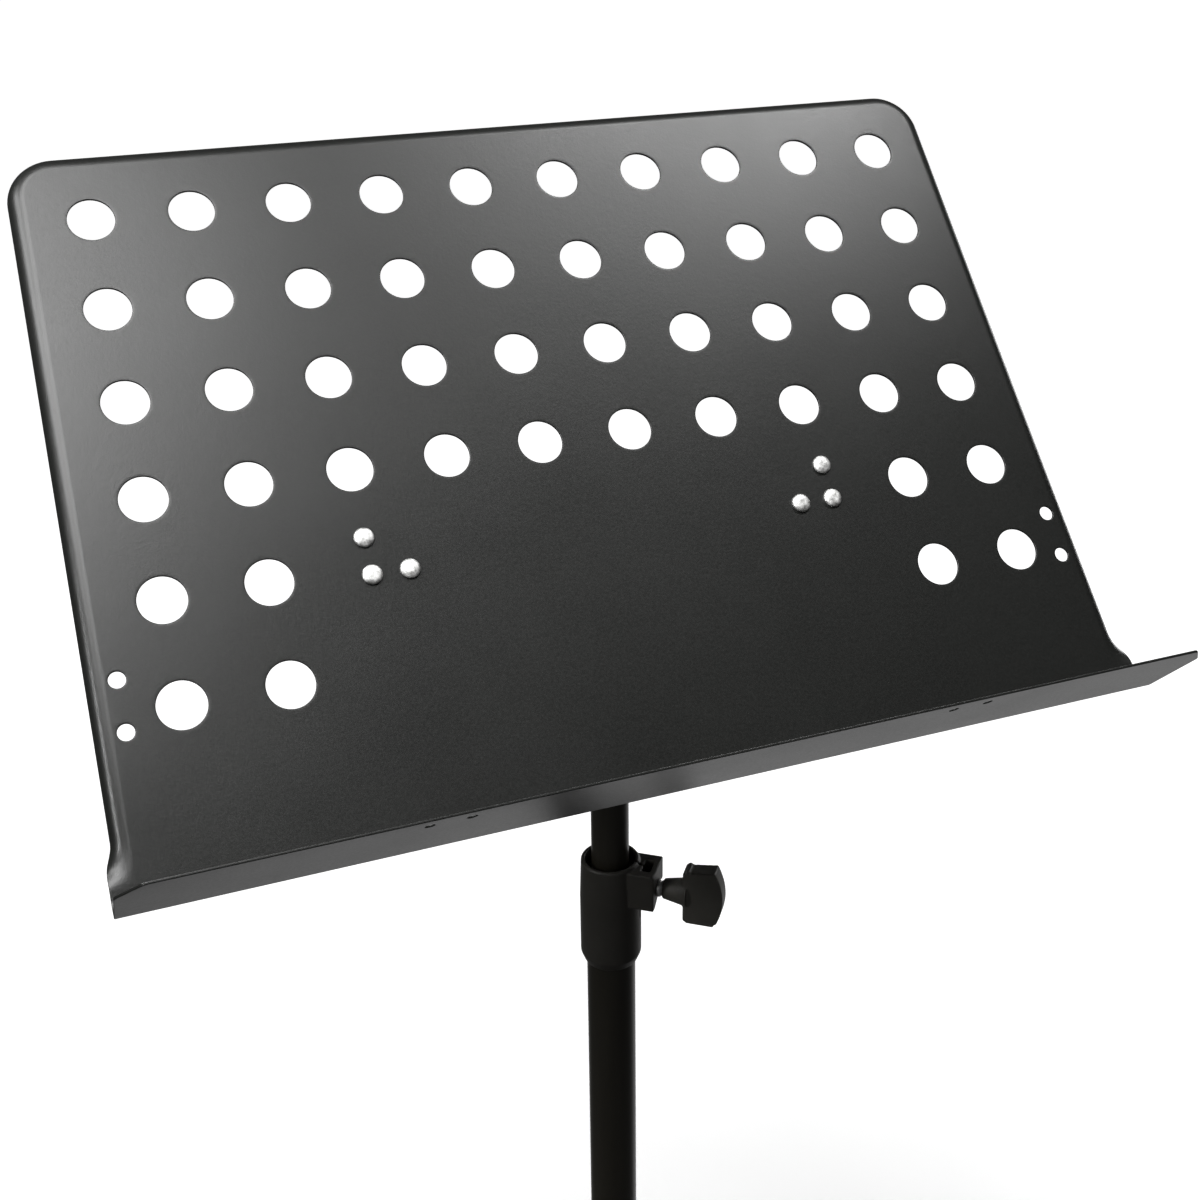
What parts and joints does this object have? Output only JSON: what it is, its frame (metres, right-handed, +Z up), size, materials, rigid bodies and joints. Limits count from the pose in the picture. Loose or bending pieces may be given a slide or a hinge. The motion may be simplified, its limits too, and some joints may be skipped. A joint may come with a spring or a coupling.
{
  "type": "music stand",
  "caption": "Orchestral music stand: perforated tilting steel desk with shelf, height-adjustable mast and folding tripod.",
  "frame": {"origin": "on the floor, in the middle of the stand's bounding box", "axes": "+Z up; the player stands on the -Y side; +X to the player's right"},
  "size_m": [0.504, 0.4366, 0.9689],
  "materials": {
    "desk_paint": "satin black powder coat, fine texture",
    "bracket_paint": "satin black powder coat",
    "rivet_steel": "bright domed",
    "tube_gloss": "gloss black paint",
    "leg_gloss": "gloss black paint",
    "zinc_steel": "bright zinc plated",
    "pin_steel": "black finished rivet",
    "clamp_plastic": "moulded, fine grain",
    "knob_plastic": "moulded, slightly worn",
    "foot_rubber": "matte"
  },
  "bodies": {
    "lower_mast": {"lower_tube": "tube_gloss", "lower_end_plug": "clamp_plastic", "clutch_collar": "clamp_plastic", "clutch_liner": "clamp_plastic", "clutch_nut": "zinc_steel", "bottom_collar": "clamp_plastic", "brace_pin_1": "pin_steel", "brace_pin_2": "pin_steel", "brace_pin_3": "pin_steel"},
    "clutch_knob_set": {"clutch_knob": "knob_plastic", "clutch_screw": "zinc_steel"},
    "glide": {"glide_bush": "clamp_plastic"},
    "upper_mast": {"upper_tube": "tube_gloss", "tilt_head": "clamp_plastic", "tilt_bolt": "zinc_steel", "tilt_washer": "zinc_steel"},
    "tilt_knob_set": {"tilt_knob": "knob_plastic"},
    "desk": {"desk_panel": "desk_paint", "desk_rivet_left_1": "rivet_steel", "desk_rivet_left_2": "rivet_steel", "desk_rivet_left_3": "rivet_steel", "desk_rivet_right_1": "rivet_steel", "desk_rivet_right_2": "rivet_steel", "desk_rivet_right_3": "rivet_steel", "bracket_ear_left": "bracket_paint", "bracket_ear_right": "bracket_paint", "cross_rod": "tube_gloss", "rod_screw_left": "zinc_steel", "rod_screw_right": "zinc_steel"},
    "crown": {"leg_crown": "clamp_plastic", "crown_nut": "zinc_steel", "leg_pin_1": "pin_steel", "leg_pin_2": "pin_steel", "leg_pin_3": "pin_steel"},
    "crown_knob_set": {"crown_knob": "knob_plastic", "crown_screw": "zinc_steel"},
    "leg_set_1": {"leg_1": "leg_gloss", "foot_1": "foot_rubber", "leg_mid_pin_1": "pin_steel"},
    "brace_set_1": {"brace_1_a": "leg_gloss", "brace_1_b": "leg_gloss"},
    "leg_set_2": {"leg_2": "leg_gloss", "foot_2": "foot_rubber", "leg_mid_pin_2": "pin_steel"},
    "brace_set_2": {"brace_2_a": "leg_gloss", "brace_2_b": "leg_gloss"},
    "leg_set_3": {"leg_3": "leg_gloss", "foot_3": "foot_rubber", "leg_mid_pin_3": "pin_steel"},
    "brace_set_3": {"brace_3_a": "leg_gloss", "brace_3_b": "leg_gloss"}
  },
  "joints": [
    {"name": "mast_height", "type": "slide", "parent": "lower_mast", "child": "glide", "axis": [0, 0, 1], "range_m": [-0.1, 0.34]},
    {"name": "mast_swivel", "type": "hinge", "parent": "glide", "child": "upper_mast", "pos_m": [0, -0.06594, 0.2], "axis": [0, 0, 1], "continuous": true},
    {"name": "desk_tilt", "type": "hinge", "parent": "upper_mast", "child": "desk", "pos_m": [0, -0.06594, 0.778], "axis": [1, 0, 0], "range_deg": [-48, 37]},
    {"name": "tilt_knob_turn", "type": "hinge", "parent": "upper_mast", "child": "tilt_knob_set", "pos_m": [0, -0.03594, 0.758], "axis": [0, 0, -1], "range_deg": [0, 360]},
    {"name": "clutch_knob_turn", "type": "hinge", "parent": "lower_mast", "child": "clutch_knob_set", "pos_m": [0.02364, -0.08441, 0.6125], "axis": [0.788, -0.6157, 0], "range_deg": [0, 360]},
    {"name": "crown_slide", "type": "slide", "parent": "lower_mast", "child": "crown", "axis": [0, 0, 1], "range_m": [0, 0.142]},
    {"name": "crown_knob_turn", "type": "hinge", "parent": "crown", "child": "crown_knob_set", "pos_m": [0.02598, -0.05094, 0.15557], "axis": [0.866, 0.5, 0], "range_deg": [0, 360]},
    {"name": "leg_fold_1", "type": "hinge", "parent": "crown", "child": "leg_set_1", "pos_m": [0, -0.03594, 0.14157], "axis": [-1, 0, 0], "range_deg": [0, 57]},
    {"name": "brace_fold_1", "type": "hinge", "parent": "lower_mast", "child": "brace_set_1", "pos_m": [0, -0.03594, 0.02702], "axis": [1, 0, 0], "range_deg": [0, 55]},
    {"name": "leg_fold_2", "type": "hinge", "parent": "crown", "child": "leg_set_2", "pos_m": [-0.02598, -0.08094, 0.14157], "axis": [0.5, -0.866, 0], "range_deg": [0, 57]},
    {"name": "brace_fold_2", "type": "hinge", "parent": "lower_mast", "child": "brace_set_2", "pos_m": [-0.02598, -0.08094, 0.02702], "axis": [-0.5, 0.866, 0], "range_deg": [0, 55]},
    {"name": "leg_fold_3", "type": "hinge", "parent": "crown", "child": "leg_set_3", "pos_m": [0.02598, -0.08094, 0.14157], "axis": [0.5, 0.866, 0], "range_deg": [0, 57]},
    {"name": "brace_fold_3", "type": "hinge", "parent": "lower_mast", "child": "brace_set_3", "pos_m": [0.02598, -0.08094, 0.02702], "axis": [-0.5, -0.866, 0], "range_deg": [0, 55]}
  ],
  "couplings": [
    {"joint": "leg_fold_1", "follows": "crown_slide", "rad_per_m": 6.883},
    {"joint": "brace_fold_1", "follows": "crown_slide", "rad_per_m": 6.5664},
    {"joint": "leg_fold_2", "follows": "crown_slide", "rad_per_m": 6.883},
    {"joint": "brace_fold_2", "follows": "crown_slide", "rad_per_m": 6.5664},
    {"joint": "leg_fold_3", "follows": "crown_slide", "rad_per_m": 6.883},
    {"joint": "brace_fold_3", "follows": "crown_slide", "rad_per_m": 6.5664}
  ]
}
